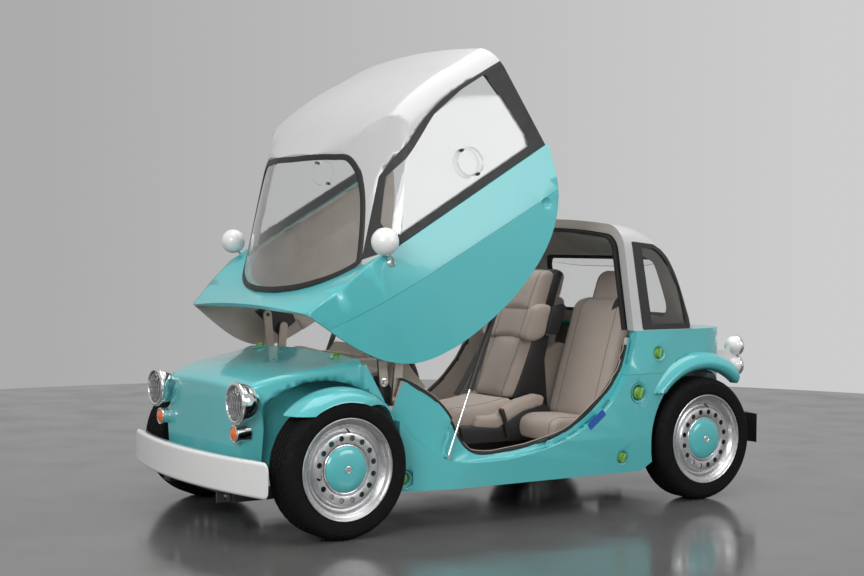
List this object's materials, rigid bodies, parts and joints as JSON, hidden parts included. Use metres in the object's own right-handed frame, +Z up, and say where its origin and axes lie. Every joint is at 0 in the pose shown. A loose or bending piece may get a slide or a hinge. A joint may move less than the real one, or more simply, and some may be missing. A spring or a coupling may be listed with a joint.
{
  "type": "concept car",
  "caption": "Small electric concept car: a one-piece canopy on linkage arms and gas struts swings up and forward over an open tub with a centre front seat and rear seats.",
  "frame": {"origin": "middle of the bounding box on the floor plane", "axes": "+X to the car's left, -Y to the front, +Z up"},
  "size_m": [1.402, 2.6999, 1.9202],
  "materials": {
    "body_paint": "gloss turquoise",
    "white_paint": "gloss pearl white",
    "interior_trim": "fine grain",
    "window_glass": "clear",
    "lamp_glass": "fluted clear",
    "seal_rubber": "matt",
    "tyre": "matt",
    "rim_silver": "satin silver",
    "frame_steel": "satin black",
    "dark_plastic": "matt",
    "chrome": "polished",
    "link_metal": "satin",
    "seat_fabric": "woven",
    "signal_orange": "translucent orange"
  },
  "bodies": {
    "body": {"nose_body": "body_paint", "sill_panels": "body_paint", "rear_body": "body_paint", "rear_fenders": "body_paint", "inner_tub": "interior_trim", "rear_roof": "white_paint", "rear_windows": "window_glass", "door_seals": "seal_rubber", "frame_rails": "frame_steel", "battery_block": "dark_plastic", "motor_block": "frame_steel", "front_suspension": "frame_steel", "rear_axle": "frame_steel", "front_bumper": "white_paint", "rear_bumper": "dark_plastic", "headlamps": "chrome", "headlamp_rings": "chrome", "headlamp_lenses": "lamp_glass", "turn_signals": "signal_orange", "tail_lamps": "white_paint", "child_seat_shell": "dark_plastic", "child_seat_pads": "seat_fabric", "rear_seats": "seat_fabric", "steering_column": "dark_plastic", "pivot_brackets": "frame_steel", "rear_frames": "seal_rubber", "dashboard": "interior_trim"},
    "front_arm": {"front_arms": "link_metal"},
    "canopy": {"canopy_lower": "body_paint", "canopy_roof": "white_paint", "canopy_frames": "seal_rubber", "windscreen": "window_glass", "side_glass": "window_glass", "mirrors": "white_paint", "ring_handles": "chrome", "canopy_hinges": "frame_steel"},
    "rear_arm": {"rear_arms": "link_metal"},
    "strut_body": {"strut_cylinders": "dark_plastic"},
    "strut_rod": {"strut_rods": "chrome"},
    "steering": {"steering_wheel": "dark_plastic"},
    "knuckle_left": {"knuckle_left": "frame_steel", "fender_left": "body_paint"},
    "knuckle_right": {"knuckle_right": "frame_steel", "fender_right": "body_paint"},
    "wheel_front_left": {"tyre_front_left": "tyre", "rim_front_left": "rim_silver", "hub_cap_front_left": "body_paint"},
    "wheel_front_right": {"tyre_front_right": "tyre", "rim_front_right": "rim_silver", "hub_cap_front_right": "body_paint"},
    "wheel_rear_left": {"tyre_rear_left": "tyre", "rim_rear_left": "rim_silver", "hub_cap_rear_left": "body_paint"},
    "wheel_rear_right": {"tyre_rear_right": "tyre", "rim_rear_right": "rim_silver", "hub_cap_rear_right": "body_paint"}
  },
  "joints": [
    {"name": "canopy_lift", "type": "hinge", "parent": "body", "child": "front_arm", "pos_m": [0, -0.6914, 0.5675], "axis": [1, 0, 0], "range_deg": [-128.95, 0]},
    {"name": "canopy_tilt", "type": "hinge", "parent": "front_arm", "child": "canopy", "pos_m": [0, -0.71215, 0.79115], "axis": [1, 0, 0], "range_deg": [0, 101.26]},
    {"name": "rear_arm_swing", "type": "hinge", "parent": "body", "child": "rear_arm", "pos_m": [0, -0.6455, 0.4962], "axis": [1, 0, 0], "range_deg": [-121.05, 0]},
    {"name": "strut_swing", "type": "hinge", "parent": "canopy", "child": "strut_body", "pos_m": [0, -0.22, 0.907], "axis": [1, 0, 0], "range_deg": [-35.49, 0]},
    {"name": "strut_slide", "type": "slide", "parent": "strut_body", "child": "strut_rod", "axis": [0, 0.363, 0.9318], "range_m": [0, 0.2263]},
    {"name": "steer_left", "type": "hinge", "parent": "body", "child": "knuckle_left", "pos_m": [0.58, -0.95, 0.266], "axis": [0, 0, 1], "range_deg": [-24, 24]},
    {"name": "steer_right", "type": "hinge", "parent": "body", "child": "knuckle_right", "pos_m": [-0.58, -0.95, 0.266], "axis": [0, 0, 1], "range_deg": [-24, 24]},
    {"name": "steering_turn", "type": "hinge", "parent": "body", "child": "steering", "pos_m": [0, -0.338, 0.56428], "axis": [0, 0.9419, 0.3359], "range_deg": [-240, 240]},
    {"name": "spin_front_left", "type": "hinge", "parent": "knuckle_left", "child": "wheel_front_left", "pos_m": [0.58, -0.95, 0.266], "axis": [1, 0, 0], "continuous": true},
    {"name": "spin_front_right", "type": "hinge", "parent": "knuckle_right", "child": "wheel_front_right", "pos_m": [-0.58, -0.95, 0.266], "axis": [1, 0, 0], "continuous": true},
    {"name": "spin_rear_left", "type": "hinge", "parent": "body", "child": "wheel_rear_left", "pos_m": [0.58, 0.85, 0.266], "axis": [1, 0, 0], "continuous": true},
    {"name": "spin_rear_right", "type": "hinge", "parent": "body", "child": "wheel_rear_right", "pos_m": [-0.58, 0.85, 0.266], "axis": [1, 0, 0], "continuous": true}
  ],
  "couplings": [
    {"joint": "canopy_tilt", "follows": "canopy_lift", "ratio": -0.78511},
    {"joint": "rear_arm_swing", "follows": "canopy_lift", "ratio": 0.9386},
    {"joint": "strut_swing", "follows": "canopy_lift", "ratio": 0.27512},
    {"joint": "strut_slide", "follows": "canopy_lift", "m_per_rad": -0.10049},
    {"joint": "steer_right", "follows": "steer_left", "ratio": 1},
    {"joint": "steering_turn", "follows": "steer_left", "ratio": 10}
  ]
}
